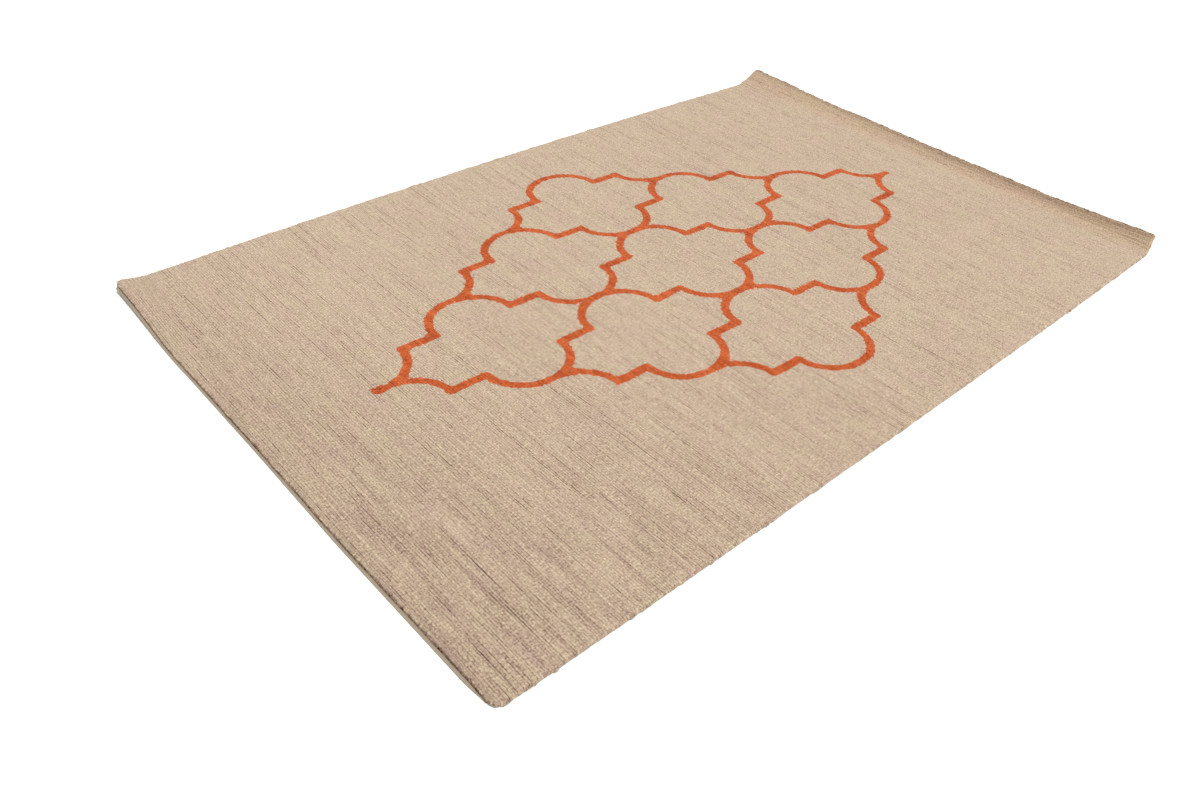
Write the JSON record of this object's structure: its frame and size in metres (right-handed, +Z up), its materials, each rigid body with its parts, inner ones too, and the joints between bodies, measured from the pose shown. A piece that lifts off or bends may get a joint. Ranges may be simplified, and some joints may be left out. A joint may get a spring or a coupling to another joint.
{
  "type": "hand-tufted rug",
  "caption": "Rectangular cut-pile rug with a lattice of linked quatrefoils, lying flat with one short end turned up in a low lip.",
  "frame": {"origin": "centre of the rug's footprint, at floor level", "axes": "+X along the rug's length, towards the turned-up end, +Y across its width, +Z up, away from the floor"},
  "size_m": [2.428, 1.5618, 0.0546],
  "materials": {
    "wool": "matt cut-pile wool in mottled beige, with a rust-orange lattice tufted into it",
    "backing": "plain cotton canvas glued over latex"
  },
  "bodies": {
    "root": {"rug": "wool"}
  },
  "joints": []
}
